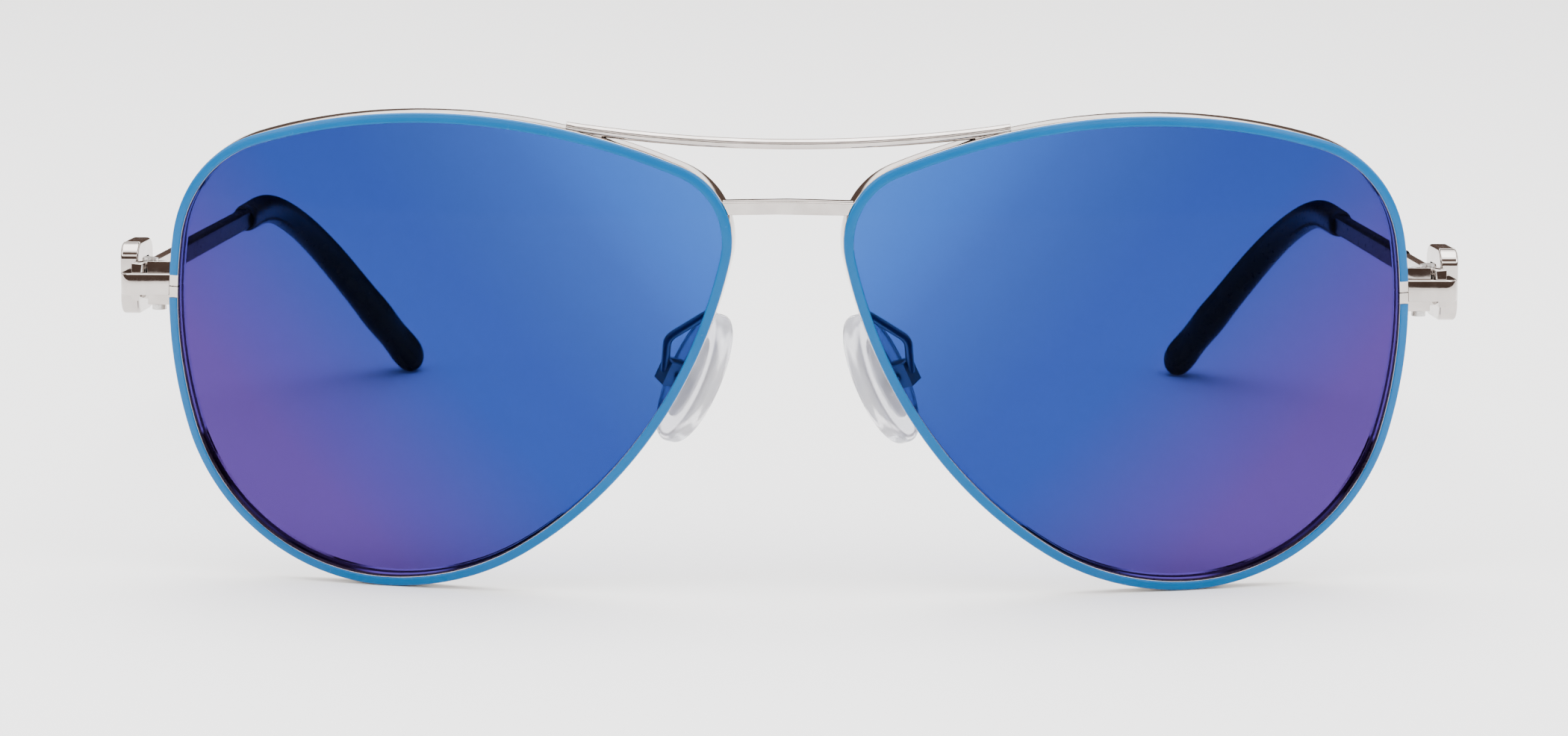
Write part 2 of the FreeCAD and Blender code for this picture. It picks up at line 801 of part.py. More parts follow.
core_from = size("arm_flat_length")
bend_ends = (size("bend_start"), size("bend_start") + bend_length)
core_to = bend_ends[1] + size("core_leg")


def line_spot(distance):
    return temple.multiply(along(distance)).Base


core_path = drawn("core_path", Part.Wire([
    Part.LineSegment(line_spot(core_from - size("core_overlap")), line_spot(bend_ends[0])).toShape(),
    Part.Arc(line_spot(bend_ends[0]), line_spot(sum(bend_ends) / 2), line_spot(bend_ends[1])).toShape(),
    Part.LineSegment(line_spot(bend_ends[1]), line_spot(core_to)).toShape(),
]))
core_section = add("Part::Circle", "core_section", temple.multiply(along(core_from - size("core_overlap"))),
                   Radius="core_wire / 2")
core = swept("core", core_section, core_path)
arm_bar = block("arm_bar", temple, ("side_in", "side_out"), ("arm_gap / 2", "arm_flat_length"),
                ("- arm_height / 2", "arm_height / 2"))
both_sides("temple_arm", fuse("temple_arm", arm_bar, core))

sleeve_bar = block("sleeve_bar", temple.multiply(arm_in_temple),
                   ("- sleeve_thickness / 2", "sleeve_thickness / 2"),
                   ("sleeve_start", "tip_start + core_overlap"),
                   ("- sleeve_height / 2", "sleeve_height / 2"))


def lengthwise(frame):
    direction = frame.Rotation.multVec(Y_AXIS)
    return lambda edge: abs(edge.tangentAt(edge.FirstParameter).dot(direction)) > 0.99


sleeve_neck = rounded("sleeve_neck", sleeve_bar, size("sleeve_round"), lengthwise(temple))

leg_joint, rounding = tip_to - size("tip_leg"), size("tip_rounding")
tip_stations = [tip_from, tip_from + 0.4, tip_from + 1.1, tip_from + 2.0, tip_from + 4.5]
tip_stations += [bend_ends[0] + bend_length * k / 4 for k in range(5)]
tip_stations += [leg_joint + size("tip_leg") * k for k in (0.28, 0.55, 0.8)]
tip_stations += [tip_to - rounding * k for k in (1.0, 0.6, 0.3, 0.12, 0.02)]
tip_rings = []
for number, station in enumerate(tip_stations):
    thick, tall = tip_size(station)
    ring = doc.addObject("Part::Ellipse", "tip_ring_%d" % number)
    ring.MajorRadius = tall
    ring.MinorRadius = thick
    ring.Placement = temple.multiply(along(station)).multiply(turn(Z_AXIS, 90))
    tip_rings.append(ring)
tip_loft = doc.addObject("Part::Loft", "tip_loft")
tip_loft.Sections = tip_rings
tip_loft.Solid = True
tip_blank = fuse("tip_blank", sleeve_neck, tip_loft)
both_sides("temple_tip", cut_all("temple_tip", tip_blank, arm_bar, core))

# ---- ornaments: a plain rounded loop that straddles each temple -----------------------------

ornament_blank = block("ornament_blank", temple, ("side_in", "ornament_out"),
                       ("ornament_from", "ornament_to"),
                       ("- ornament_height / 2", "ornament_height / 2"))


def sideways(frame):
    direction = frame.Rotation.multVec(X_AXIS)
    return lambda edge: abs(edge.tangentAt(edge.FirstParameter).dot(direction)) > 0.99


ornament_round = rounded("ornament_round", ornament_blank, size("ornament_round"), sideways(temple))
ornament_soft = rounded("ornament_soft", ornament_round, size("ornament_edge"),
                        lambda edge: not sideways(temple)(edge))
ornament_hole = block("ornament_hole", temple, ("side_in - 1", "ornament_out + 1"),
                      ("ornament_from + ornament_bar", "ornament_to - ornament_bar"),
                      ("- window_rise", "window_rise"))
ornament_window = rounded("ornament_window", ornament_hole, size("ornament_edge") * 2, sideways(temple))
both_sides("ornament", cut_all("ornament", ornament_soft, ornament_window, arm_bar))

# ---- nose pads ------------------------------------------------------------------------------

# The pad's frame: X is its width, Y its length and Z points at the nose.
pad_spot = front.multiply(
    move(size("bridge_width / 2 + pad_beyond_bridge"), size("pad_back"), -size("pad_down"))
)
slant = math.radians(size("pad_slant"))
splay = math.radians(size("pad_splay"))
pad_long = V(-math.sin(slant), 0, math.cos(slant))
nose_ward = V(-math.cos(slant), 0, -math.sin(slant)) * math.cos(splay) + Y_AXIS * math.sin(splay)
pad_wide = pad_long.cross(nose_ward)
pad_turn = Rotation(pad_wide, pad_long, nose_ward, "ZYX")
pad = pad_spot.multiply(Placement(V(0, 0, 0), pad_turn))

pad_oval = add("Part::Ellipse", "pad_oval",
               pad.multiply(move(z=-size("pad_thickness / 2"))).multiply(turn(Z_AXIS, 90)),
               MajorRadius="pad_length / 2", MinorRadius="pad_width / 2")
pad_blank = extruded("pad_blank", pad_oval, pad.Rotation.multVec(Z_AXIS), size("pad_thickness"))
pad_soft = rounded("pad_soft", pad_blank, size("pad_round"), lambda edge: edge.Closed)

core_oval = add("Part::Ellipse", "core_oval",
                pad.multiply(move(z=size("pad_core_low"))).multiply(turn(Z_AXIS, 90)),
                MajorRadius="pad_core_length / 2", MinorRadius="pad_core_width / 2")
core_plate = extruded("core_plate", core_oval, pad.Rotation.multVec(Z_AXIS), size("pad_core_thickness"))
tab = block("tab", pad, ("- pad_tab / 2", "pad_tab / 2"), ("- tab_tall", "tab_tall"),
            ("tab_end", "pad_core_low + 0.1"))
pad_axis = pad.multiply(move(z=size("box_top - pad_screw_depth"))).multiply(turn(Y_AXIS, 90))
tab_bore = rod("tab_bore", pad_axis, "pad_screw / 2 + pad_screw_play", "-3", "3")
both_sides("pad_core", cut("pad_core", fuse("pad_core_blank", core_plate, tab), tab_bore))
both_sides("nose_pad", cut("nose_pad", pad_soft, fuse("pad_cavity", core_plate, tab)))

pad_box_block = block("pad_box_block", pad, ("- box_wide", "box_wide"), ("- pad_box / 2", "pad_box / 2"),
                      ("box_low", "box_top"))
pad_box_slot = block("pad_box_slot", pad, ("- slot_half", "slot_half"), ("- pad_box", "pad_box"),
                     ("box_top - pad_box_depth", "box_top + 1"))
box_bore = rod("box_bore", pad_axis, "pad_screw / 2", "-3", "3")
pad_box = cut_all("pad_box", pad_box_block, pad_box_slot, box_bore)

wire_root = on_nose_side(size("pad_wire_up"), lip + size("rim_width") / 2)
wire_root = on_ball(wire_root, size("rim_back"))
wire_start = optic.multVec(wire_root - V(0, size("pad_wire_root"), 0))
wire_turn = optic.multVec(wire_root + V(0, size("pad_wire_back"), 0))
box_foot = pad.multVec(V(0, 0, size("box_low + pad_wire_foot")))
box_lead = pad.multVec(V(0, size("pad_box / 2 + pad_wire_lead"), size("box_low - pad_wire_lead_back")))
wire_spots = [wire_start, wire_turn, box_lead, box_foot]
wire_path = drawn("wire_path", rounded_path(wire_spots, size("pad_wire_bend")))
wire_heading = Rotation(Z_AXIS, wire_turn - wire_start)
wire_section = add("Part::Circle", "wire_section", Placement(wire_start, wire_heading), Radius="pad_wire / 2")
pad_wire = swept("pad_wire", wire_section, wire_path)
wire_trim = cut_all("wire_trim", pad_wire, rim_blank, pad_box_slot)
pad_arm = fuse("pad_arm", wire_trim, pad_box)
both_sides("pad_arm", pad_arm)

both_sides("pad_screw", screw(
    "pad_screw", pad_axis, "pad_screw / 2", "pad_screw_head / 2",
    "- box_wide", "box_wide", "box_wide", "box_wide + pad_screw_head_height", "screw_slot"))

# ---- stand the whole object on its bounding box's bottom centre -----------------------------

doc.recompute()


def check(stage):
    for thing in doc.Objects:
        if "Invalid" in thing.State or "Error" in thing.State:
            raise RuntimeError("%s: %s failed: %s" % (stage, thing.Name, thing.State))
    for label, thing in NODES.items():
        if thing.Shape.isNull() or not thing.Shape.isValid() or not thing.Shape.Solids:
            raise RuntimeError("%s: %s has no valid solid" % (stage, label))


check("built")

whole = FreeCAD.BoundBox()
for thing in NODES.values():
    whole.add(thing.Shape.optimalBoundingBox(False, False))
ground = Placement(V(-whole.Center.x, -whole.Center.y, -whole.ZMin), Rotation())
for label, thing in NODES.items():
    if not label.endswith("_right"):
        thing.Placement = ground.multiply(thing.Placement)
doc.recompute()
check("placed")

for label, thing in NODES.items():
    thing.Shape.exportStep("parts/%s.step" % label)
    print("%-22s %8.2f mm3, %d solid" % (label, thing.Shape.Volume, len(thing.Shape.Solids)))
print("box", whole.XLength, whole.YLength, whole.ZLength)


def tell(name, frame):
    """Print a pivot's place and its axis in the standing frame."""
    spot = ground.multiply(frame)
    axis = spot.Rotation.multVec(Z_AXIS)
    numbers = list(spot.Base) + list(axis)
    print("pivot", name, " ".join("%.6f" % n for n in numbers))


tell("left_temple", hinge)
tell("left_pad", pad_axis)
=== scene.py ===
import bpy, bmesh, math
from mathutils import Matrix, Vector


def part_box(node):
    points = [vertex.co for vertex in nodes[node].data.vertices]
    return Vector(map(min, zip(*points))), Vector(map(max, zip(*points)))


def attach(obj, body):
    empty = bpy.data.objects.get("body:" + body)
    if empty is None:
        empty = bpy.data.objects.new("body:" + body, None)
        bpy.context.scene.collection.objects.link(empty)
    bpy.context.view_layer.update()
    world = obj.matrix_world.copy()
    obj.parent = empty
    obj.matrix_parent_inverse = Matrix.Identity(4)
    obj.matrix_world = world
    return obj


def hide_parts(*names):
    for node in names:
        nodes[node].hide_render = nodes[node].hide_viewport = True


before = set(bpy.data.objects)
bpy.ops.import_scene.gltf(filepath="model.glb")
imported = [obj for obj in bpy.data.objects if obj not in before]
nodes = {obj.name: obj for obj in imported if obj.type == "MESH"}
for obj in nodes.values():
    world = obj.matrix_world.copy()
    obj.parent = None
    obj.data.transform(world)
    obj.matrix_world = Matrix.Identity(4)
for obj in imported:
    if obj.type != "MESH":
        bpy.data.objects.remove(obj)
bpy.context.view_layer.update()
print("frame loaded:", len(nodes), "nodes")
sides = ("left", "right")


def newMaterial(name):
    mat = bpy.data.materials.new(name)
    mat.use_nodes = True
    tree = mat.node_tree
    shader = tree.nodes["Principled BSDF"]
    return mat, tree, shader


def noiseAt(tree, scale, detail=3.0, rough=0.5):
    place = tree.nodes.new("ShaderNodeTexCoord")
    noise = tree.nodes.new("ShaderNodeTexNoise")
    noise.inputs["Scale"].default_value = scale
    noise.inputs["Detail"].default_value = detail
    noise.inputs["Roughness"].default_value = rough
    tree.links.new(place.outputs["Object"], noise.inputs["Vector"])
    return noise


def ramp(tree, source, stops):
    node = tree.nodes.new("ShaderNodeValToRGB")
    parts = node.color_ramp.elements
    while len(parts) < len(stops):
        parts.new(0.5)
    for part, (spot, colour) in zip(parts, stops):
        part.position = spot
        part.color = (*colour, 1.0)
    tree.links.new(source, node.inputs["Fac"])
    return node.outputs["Color"]


def grey(value):
    return (value, value, value)


def bumpFrom(tree, source, distance, strength=1.0):
    bump = tree.nodes.new("ShaderNodeBump")
    bump.inputs["Distance"].default_value = distance
    bump.inputs["Strength"].default_value = strength
    tree.links.new(source, bump.inputs["Height"])
    return bump.outputs["Normal"]


def mottled(tree, shader, socket, grain, stops):
    # a ramp over fine noise feeds one socket of the shader
    tree.links.new(ramp(tree, noiseAt(tree, *grain).outputs["Fac"], stops), shader.inputs[socket])


# polished silver plating
silverLook = {
    "bright": (0.50, 0.46, 0.435),
    "dull": (0.41, 0.375, 0.35),
    "clouds": (260, 4),  # noise scale and detail
    "haze": (900, 5, 0.6),
    "rough": (0.03, 0.10),
    "satin": (0.32, 0.44),
    "pits": (2600, 2),
    "pitDepth": 0.000004,
    "pitStrength": 0.3,
}


def makeSilver(name, roughness):
    mat, tree, shader = newMaterial(name)
    mottled(tree, shader, "Base Color", silverLook["clouds"],
            [(0.35, silverLook["dull"]), (0.6, silverLook["bright"])])
    low, high = roughness
    mottled(tree, shader, "Roughness", silverLook["haze"], [(0.3, grey(low)), (0.75, grey(high))])
    shader.inputs["Metallic"].default_value = 1.0
    pits = noiseAt(tree, *silverLook["pits"]).outputs["Fac"]
    tree.links.new(bumpFrom(tree, pits, silverLook["pitDepth"], silverLook["pitStrength"]),
                   shader.inputs["Normal"])
    return mat


steelLook = {
    "grain": (3500, 3),
    "dark": (0.45, 0.44, 0.43),
    "light": (0.68, 0.66, 0.64),
    "rough": (0.22, 0.38),
}


def makeScrewSteel():
    mat, tree, shader = newMaterial("screwSteel")
    low, high = steelLook["rough"]
    mottled(tree, shader, "Base Color", steelLook["grain"],
            [(0.3, steelLook["dark"]), (0.7, steelLook["light"])])
    mottled(tree, shader, "Roughness", steelLook["grain"], [(0.2, grey(low)), (0.8, grey(high))])
    shader.inputs["Metallic"].default_value = 1.0
    return mat


enamelLook = {
    "deep": (0.0002, 0.072, 0.205),
    "mid": (0.0003, 0.082, 0.23),
    "pale": (0.001, 0.125, 0.33),  # painted sheen, paler where the face turns away
    "sheenReach": 0.35,
    "clouds": (180, 3),
    "haze": (1200, 4),
    "rough": (0.16, 0.30),
    "shine": 0.12,
    "coat": 0.06,
    "coatRough": 0.05,
}


def makeEnamel():
    mat, tree, shader = newMaterial("blueEnamel")
    flat = ramp(tree, noiseAt(tree, *enamelLook["clouds"]).outputs["Fac"],
                [(0.3, enamelLook["deep"]), (0.75, enamelLook["mid"])])
    # painted sheen: the colour turns pale where the face turns away from view
    paintedSheen = tree.nodes.new("ShaderNodeLayerWeight")
    paintedSheen.inputs["Blend"].default_value = enamelLook["sheenReach"]
    mix = tree.nodes.new("ShaderNodeMix")
    mix.data_type = "RGBA"
    tree.links.new(paintedSheen.outputs["Facing"], mix.inputs["Factor"])
    tree.links.new(flat, mix.inputs["A"])
    mix.inputs["B"].default_value = (*enamelLook["pale"], 1.0)
    tree.links.new(mix.outputs["Result"], shader.inputs["Base Color"])
    low, high = enamelLook["rough"]
    mottled(tree, shader, "Roughness", enamelLook["haze"], [(0.3, grey(low)), (0.8, grey(high))])
    shader.inputs["Specular IOR Level"].default_value = enamelLook["shine"]
    shader.inputs["Coat Weight"].default_value = enamelLook["coat"]
    shader.inputs["Coat Roughness"].default_value = enamelLook["coatRough"]
    return mat


# the tint runs from purple at the lower temple side to blue at the upper nose side; it is partly the lens's
# own gradient tint and partly a painted reflection of the mirror coating, with a painted highlight in the
# lighter stops at the nose end
# light crosses it twice, at each face of the lens
lensLook = {
    "floorLight": 3.2,  # brightness of what lies behind the lens
    "lean": (1.0, 0.75),  # how much the way across and the way up count
    # purple to blue stops: own tint with painted reflection; the last, lighter stops are a painted highlight
    "stops": (
        (0.30, (0.162, 0.081, 0.457)),
        (0.42, (0.158, 0.082, 0.458)),
        (0.56, (0.113, 0.088, 0.500)),
        (0.71, (0.076, 0.100, 0.519)),
        (0.86, (0.0455, 0.104, 0.547)),
        (1.02, (0.0455, 0.105, 0.550)),
        (1.16, (0.052, 0.125, 0.573)),
        (1.31, (0.063, 0.157, 0.676)),
        (1.44, (0.069, 0.224, 0.898)),
        (1.56, (0.077, 0.275, 1.014)),
    ),
    "reach": 2.0,  # length of the ramp
    "gloss": 1.08,  # index of the thin shine on top
    "glossColour": (0.75, 0.85, 1.0, 1.0),
    "glossRough": 0.02,
}


def makeLens(side):
    mat, tree, shader = newMaterial("mirrorLens_" + side)
    tree.nodes.remove(shader)
    low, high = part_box("lens_" + side)
    size = high - low
    outwards = 1 if side == "left" else -1
    corner = Vector((high.x if side == "left" else low.x, low.y, low.z))  # lower temple corner
    place = tree.nodes.new("ShaderNodeTexCoord")
    mapping = tree.nodes.new("ShaderNodeMapping")
    mapping.vector_type = "TEXTURE"
    mapping.inputs["Location"].default_value = corner
    mapping.inputs["Scale"].default_value = (-outwards * size.x, size.y, size.z)
    tree.links.new(place.outputs["Object"], mapping.inputs["Vector"])
    split = tree.nodes.new("ShaderNodeSeparateXYZ")
    tree.links.new(mapping.outputs["Vector"], split.inputs["Vector"])
    across = tree.nodes.new("ShaderNodeMath")
    across.operation = "MULTIPLY"
    across.inputs[1].default_value = lensLook["lean"][0] / lensLook["reach"]
    tree.links.new(split.outputs["X"], across.inputs[0])
    along = tree.nodes.new("ShaderNodeMath")
    along.operation = "MULTIPLY_ADD"
    along.inputs[1].default_value = lensLook["lean"][1] / lensLook["reach"]
    tree.links.new(split.outputs["Z"], along.inputs[0])
    tree.links.new(across.outputs[0], along.inputs[2])
    stops = []
    for spot, colour in lensLook["stops"]:
        stops.append((spot / lensLook["reach"], tuple(math.sqrt(c / lensLook["floorLight"]) for c in colour)))
    # the ramp paints the lens's own tint together with a painted reflection and a painted highlight toward
    # the nose end
    tintAndReflection = ramp(tree, along.outputs[0], stops)
    clear = tree.nodes.new("ShaderNodeBsdfTransparent")
    tree.links.new(tintAndReflection, clear.inputs["Color"])
    gloss = tree.nodes.new("ShaderNodeBsdfGlossy")
    gloss.inputs["Roughness"].default_value = lensLook["glossRough"]
    gloss.inputs["Color"].default_value = lensLook["glossColour"]
    fresnel = tree.nodes.new("ShaderNodeFresnel")
    fresnel.inputs["IOR"].default_value = lensLook["gloss"]
    both = tree.nodes.new("ShaderNodeMixShader")
    tree.links.new(fresnel.outputs["Fac"], both.inputs["Fac"])
    tree.links.new(clear.outputs[0], both.inputs[1])
    tree.links.new(gloss.outputs[0], both.inputs[2])
    tree.links.new(both.outputs[0], tree.nodes["Material Output"].inputs["Surface"])
    return mat


tipLook = {
    "grain": (400, 3),
    "black": (0.0012, 0.004),
    "haze": (1500, 4),
    "rough": (0.18, 0.32),
    "shine": 0.04,
}


def makeBlackTip():
    mat, tree, shader = newMaterial("blackTip")
    deep, pale = tipLook["black"]
    low, high = tipLook["rough"]
    mottled(tree, shader, "Base Color", tipLook["grain"], [(0.3, grey(deep)), (0.8, grey(pale))])
    mottled(tree, shader, "Roughness", tipLook["haze"], [(0.3, grey(low)), (0.8, grey(high))])
    shader.inputs["Specular IOR Level"].default_value = tipLook["shine"]
    return mat


siliconeLook = {
    "milk": (0.90, 0.91, 0.97),
    "clear": (0.96, 0.96, 0.99),
    "clouds": (160, 2),
    "haze": (300, 2),
    "rough": (0.08, 0.18),
    "through": 0.72,
    "index": 1.41,
    "shine": 0.6,
}


def makeSilicone():
    mat, tree, shader = newMaterial("clearSilicone")
    low, high = siliconeLook["rough"]
    mottled(tree, shader, "Base Color", siliconeLook["clouds"],
            [(0.3, siliconeLook["milk"]), (0.7, siliconeLook["clear"])])
    mottled(tree, shader, "Roughness", siliconeLook["haze"], [(0.3, grey(low)), (0.8, grey(high))])
    shader.inputs["Transmission Weight"].default_value = siliconeLook["through"]
    shader.inputs["IOR"].default_value = siliconeLook["index"]
    shader.inputs["Specular IOR Level"].default_value = siliconeLook["shine"]
    return mat


insertLook = {"dark": (0.30, 0.31, 0.33), "light": (0.42, 0.43, 0.45), "grain": (900, 3), "rough": 0.35}


def makePadInsert():
    mat, tree, shader = newMaterial("padInsert")
    mottled(tree, shader, "Base Color", insertLook["grain"],
            [(0.3, insertLook["dark"]), (0.8, insertLook["light"])])
    shader.inputs["Roughness"].default_value = insertLook["rough"]
    return mat


# painted shade on the rim's inner wall, the recess that faces the lens
paintedShadeLook = {
    "dark": (0.012, 0.008, 0.012),
    "light": (0.03, 0.02, 0.028),
    "grain": (700, 3),
    "haze": (2000, 3),
    "rough": (0.25, 0.4),
    "metal": 0.2,
    "shine": 0.3,
}


def makeRimPaintedShade():
    mat, tree, shader = newMaterial("rimPaintedShade")
    low, high = paintedShadeLook["rough"]
    mottled(tree, shader, "Base Color", paintedShadeLook["grain"],
            [(0.3, paintedShadeLook["dark"]), (0.8, paintedShadeLook["light"])])
    mottled(tree, shader, "Roughness", paintedShadeLook["haze"], [(0.3, grey(low)), (0.8, grey(high))])
    shader.inputs["Metallic"].default_value = paintedShadeLook["metal"]
    shader.inputs["Specular IOR Level"].default_value = paintedShadeLook["shine"]
    return mat


silver = makeSilver("silverPlate", silverLook["rough"])
satin = makeSilver("satinPlate", silverLook["satin"])  # the pad arms
steel, enamel, rimPaintedShade = makeScrewSteel(), makeEnamel(), makeRimPaintedShade()
blackTip, silicone, insert = makeBlackTip(), makeSilicone(), makePadInsert()
lensTintWithReflection = {side: makeLens(side) for side in sides}
print("materials made")

finishes = {"enamel": enamel, "temple_tip": blackTip, "nose_pad": silicone, "pad_core": insert,
            "pad_arm": satin, "rim_lock_screw": steel, "hinge_screw": steel, "pad_screw": steel}
for name, piece in nodes.items():
    finish = lensTintWithReflection.get(name[5:]) if name.startswith("lens_") else silver
    for start, mat in finishes.items():
        if name.startswith(start):
            finish = mat
    for slot in piece.material_slots:
        slot.material = finish
print("finishes given")


def onlyThis(piece):
    bpy.ops.object.select_all(action="DESELECT")
    piece.select_set(True)
    bpy.context.view_layer.objects.active = piece


def pick(piece, test):
    bpy.ops.mesh.select_all(action="DESELECT")
    shape = bmesh.from_edit_mesh(piece.data)
    for vert in shape.verts:
        vert.select = test(vert.co)
    shape.select_flush(True)
    bmesh.update_edit_mesh(piece.data)


def smoothed(piece, degrees):
    onlyThis(piece)
    bpy.ops.object.shade_smooth_by_angle(angle=math.radians(degrees))


def addModifier(piece, kind, **settings):
    onlyThis(piece)
    modifier = piece.modifiers.new(kind.title(), kind)
    for key, value in settings.items():
        setattr(modifier, key, value)
    bpy.ops.object.modifier_apply(modifier=modifier.name)


# the lens outline: arcs that run into each other, anticlockwise from the lowest point
outline = {
    # radius in mm, turn in degrees
    "arcs": ((21.0503, 76.0), (53.8163, 22.0), (13.4, 63.0), (61.0868, 43.0),
             (8.15, 77.5), (49.8838, 44.5), (28.3, 34.0)),
    "start": (7.476, -25.3),
    "step": 0.45,  # mm between rings
    "fewest": 4,  # steps in the shortest arc
    "curve": 88.0,  # radius of the lens's ball
    "wrap": 8.0,
    "tilt": 6.0,
    "middle": 36.25,
    "cornerSteps": 5,
    "weld": 0.002,
}
mm = 0.001


def ringAlongLens(name, across, depth, cornerFront, cornerBack):
    # a bar section stands at the lowest point and is spun through each arc in turn
    lowX, lowZ = outline["start"]
    middleOut = sum(across) / 2
    middleBack = sum(depth) / 2
    bpy.ops.object.select_all(action="DESELECT")
    bpy.ops.mesh.primitive_plane_add(size=mm, rotation=(0, math.pi / 2, 0),
                                     location=(lowX * mm, middleBack * mm, (lowZ - middleOut) * mm))
    ring = bpy.context.object
    ring.name = name
    ring.scale = (across[1] - across[0], depth[1] - depth[0], 1)
    bpy.ops.object.transform_apply(location=True, rotation=True, scale=True)
    bpy.ops.object.mode_set(mode="EDIT")
    for front, corner in ((True, cornerFront), (False, cornerBack)):
        pick(ring, lambda co: (co.y < middleBack * mm) == front)
        bpy.ops.mesh.bevel(affect="VERTICES", offset=corner * mm, segments=outline["cornerSteps"])
    bpy.ops.mesh.select_all(action="SELECT")
    bpy.ops.mesh.delete(type="ONLY_FACE")
    bpy.ops.mesh.select_all(action="SELECT")
    x, z, heading = lowX, lowZ, 0.0
    for radius, turn in outline["arcs"]:
        centre = (x - radius * math.sin(heading), z + radius * math.cos(heading))
        after = heading + math.radians(turn)
        steps = max(outline["fewest"], round(radius * math.radians(turn) / outline["step"]))
        bpy.ops.mesh.spin(steps=steps, angle=math.radians(turn), axis=(0, 1, 0),
                          center=(centre[0] * mm, 0, centre[1] * mm))
        x, z = centre[0] + radius * math.sin(after), centre[1] - radius * math.cos(after)
        heading = after
    bpy.ops.mesh.select_all(action="SELECT")
    bpy.ops.mesh.remove_doubles(threshold=outline["weld"] * mm)
    bpy.ops.mesh.normals_make_consistent(inside=False)
    bpy.ops.object.mode_set(mode="OBJECT")
    if name.startswith("rim"):
        paintShadeInside(ring)
    for vert in ring.data.vertices:  # the flat ring is laid on the lens's ball
        ball = outline["curve"] * mm - vert.co.y
        vert.co.y = outline["curve"] * mm - math.sqrt(ball ** 2 - vert.co.x ** 2 - vert.co.z ** 2)
    turned = (Matrix.Rotation(math.radians(outline["tilt"]), 4, "X")
              @ Matrix.Translation((outline["middle"] * mm, 0, 0))
              @ Matrix.Rotation(math.radians(outline["wrap"]), 4, "Z"))
    ring.data.transform(turned)
    return ring


def paintShadeInside(ring):
    # the wall that faces the lens gets painted shade; it is found in the flat ring's own frame
    ring.data.materials.append(silver)
    ring.data.materials.append(rimPaintedShade)
    for face in ring.data.polygons:
        inward = Vector((-face.center.x, 0, -face.center.z)).normalized()
        if face.normal.dot(inward) > rimShape["paintedShadeTurn"]:
            face.material_index = 1


def seatOf(piece, node):
    low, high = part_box(node)
    spots = [vert.co for vert in piece.data.vertices]
    mine = [(min(s[i] for s in spots) + max(s[i] for s in spots)) / 2 for i in range(3)]
    return (low + high) / 2 - Vector(mine)


def mirrored(piece, name):
    other = piece.copy()
    other.data = piece.data.copy()
    other.name = name
    bpy.context.scene.collection.objects.link(other)
    onlyThis(other)
    other.scale.x = -1
    bpy.ops.object.transform_apply(location=True, rotation=True, scale=True)
    bpy.ops.object.mode_set(mode="EDIT")
    bpy.ops.mesh.select_all(action="SELECT")
    bpy.ops.mesh.normals_make_consistent(inside=False)
    bpy.ops.object.mode_set(mode="OBJECT")
    return other


def carved(piece, size, place):
    # a box is taken out of a piece
    bpy.ops.object.select_all(action="DESELECT")
    bpy.ops.mesh.primitive_cube_add(size=1, location=place)
    cutter = bpy.context.object
    cutter.scale = size
    addModifier(piece, "BOOLEAN", object=cutter, operation="DIFFERENCE", solver="EXACT")
    bpy.data.objects.remove(cutter)


def finished(piece, body, material, slot, *replaced):
    if len(piece.data.materials) < 2:
        piece.data.materials.clear()
        piece.data.materials.append(material)
    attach(piece, body)
    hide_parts(*replaced)


# bar sections in mm, across from the outline and back from the lens
rimShape = {
    "across": (-0.5, 0.55),
    "depth": (-0.75, 1.45),
    "cornerFront": 0.06,
    "cornerBack": 0.28,
    "split": 0.12,
    "paintedShadeTurn": 0.75,  # how squarely a face looks inwards to get the painted shade
}
enamelShape = {
    "across": (-0.47, 0.52),
    "depth": (-1.0, -0.72),
    "cornerFront": 0.2,
    "cornerBack": 0.02,
    "gap": 2.45,
}
sawShape = {"width": 12.0, "depth": 20.0, "inset": 2.0}  # the box that opens both rings
smoothAngle = 40

rim = ringAlongLens("rim_left", rimShape["across"], rimShape["depth"], rimShape["cornerFront"],
                    rimShape["cornerBack"])
seat = seatOf(rim, "eyewire_left")
rim.data.transform(Matrix.Translation(seat))
endLow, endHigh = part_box("end_piece_left")
jointPlace = (endLow.x - sawShape["inset"] * mm, (endLow.y + endHigh.y) / 2, (endLow.z + endHigh.z) / 2)
saw = (sawShape["width"] * mm, sawShape["depth"] * mm)
carved(rim, (*saw, rimShape["split"] * mm), jointPlace)
smoothed(rim, smoothAngle)
enamelRing = ringAlongLens("enamelRing_left", enamelShape["across"], enamelShape["depth"],
                           enamelShape["cornerFront"], enamelShape["cornerBack"])
enamelRing.data.transform(Matrix.Translation(seat))
carved(enamelRing, (*saw, enamelShape["gap"] * mm), jointPlace)
smoothed(enamelRing, smoothAngle)
for piece, start, mat, slot, node in ((rim, "rim_", silver, "silver_metal", "eyewire_"),
                                      (enamelRing, "enamelRing_", enamel, "blue_enamel", "enamel_")):
    other = mirrored(piece, start + "right")
    smoothed(other, smoothAngle)
    finished(piece, "front", mat, slot, node + "left")
    finished(other, "front", mat, slot, node + "right")
print("rims and enamel made")

# metal blocks keep their shape, with softened edges
softEdges = {"end_piece": 0.12, "rim_lock_upper": 0.12, "rim_lock_lower": 0.12, "hinge_front": 0.1,
             "hinge_temple": 0.1, "temple_arm": 0.16, "bridge": 0.2}
softCut = {"weld": 0.001, "flat": 1.5, "sharp": 40, "steps": 3, "smooth": 35}  # mm and degrees


